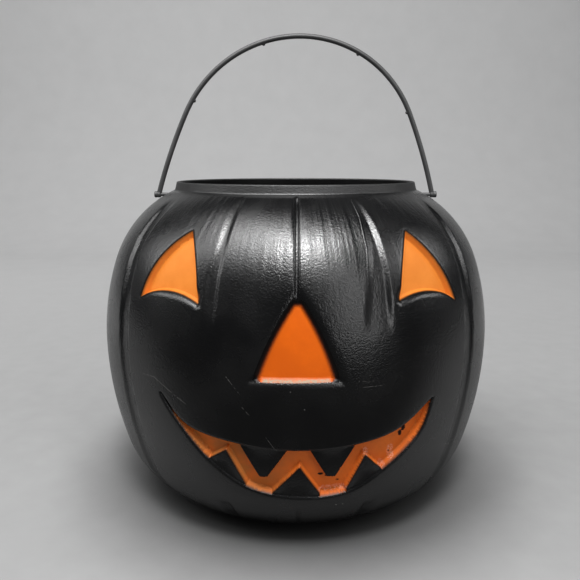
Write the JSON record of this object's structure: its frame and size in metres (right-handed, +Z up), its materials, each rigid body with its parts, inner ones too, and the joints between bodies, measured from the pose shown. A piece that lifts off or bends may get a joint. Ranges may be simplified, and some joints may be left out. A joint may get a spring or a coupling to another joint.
{
  "type": "pumpkin candy pail",
  "caption": "Round blow-moulded pumpkin pail with lobes, a painted jack-o'-lantern face, an open neck and an arched bail handle that swings on snap-in pivots.",
  "frame": {"origin": "under the middle of the base, on the plane that the foot ring stands on", "axes": "+Z up along the pail's axis, the face looks towards -Y, the handle's pivots lie along X"},
  "size_m": [0.2158, 0.216, 0.2513],
  "materials": {
    "black_shell": "satin blow-moulded polyethylene, finely pebbled",
    "black_handle": "satin injection-moulded polyethylene",
    "orange_paint": "thin sprayed paint with soft edges"
  },
  "bodies": {
    "pail": {"pail_shell": "black_shell", "left_eye_paint": "orange_paint", "right_eye_paint": "orange_paint", "nose_paint": "orange_paint", "mouth_paint": "orange_paint"},
    "bail": {"bail_handle": "black_handle"}
  },
  "joints": [
    {"name": "handle_swing", "type": "hinge", "parent": "pail", "child": "bail", "pos_m": [0, 0, 0.1649], "axis": [1, 0, 0], "range_deg": [-85, 85]}
  ]
}
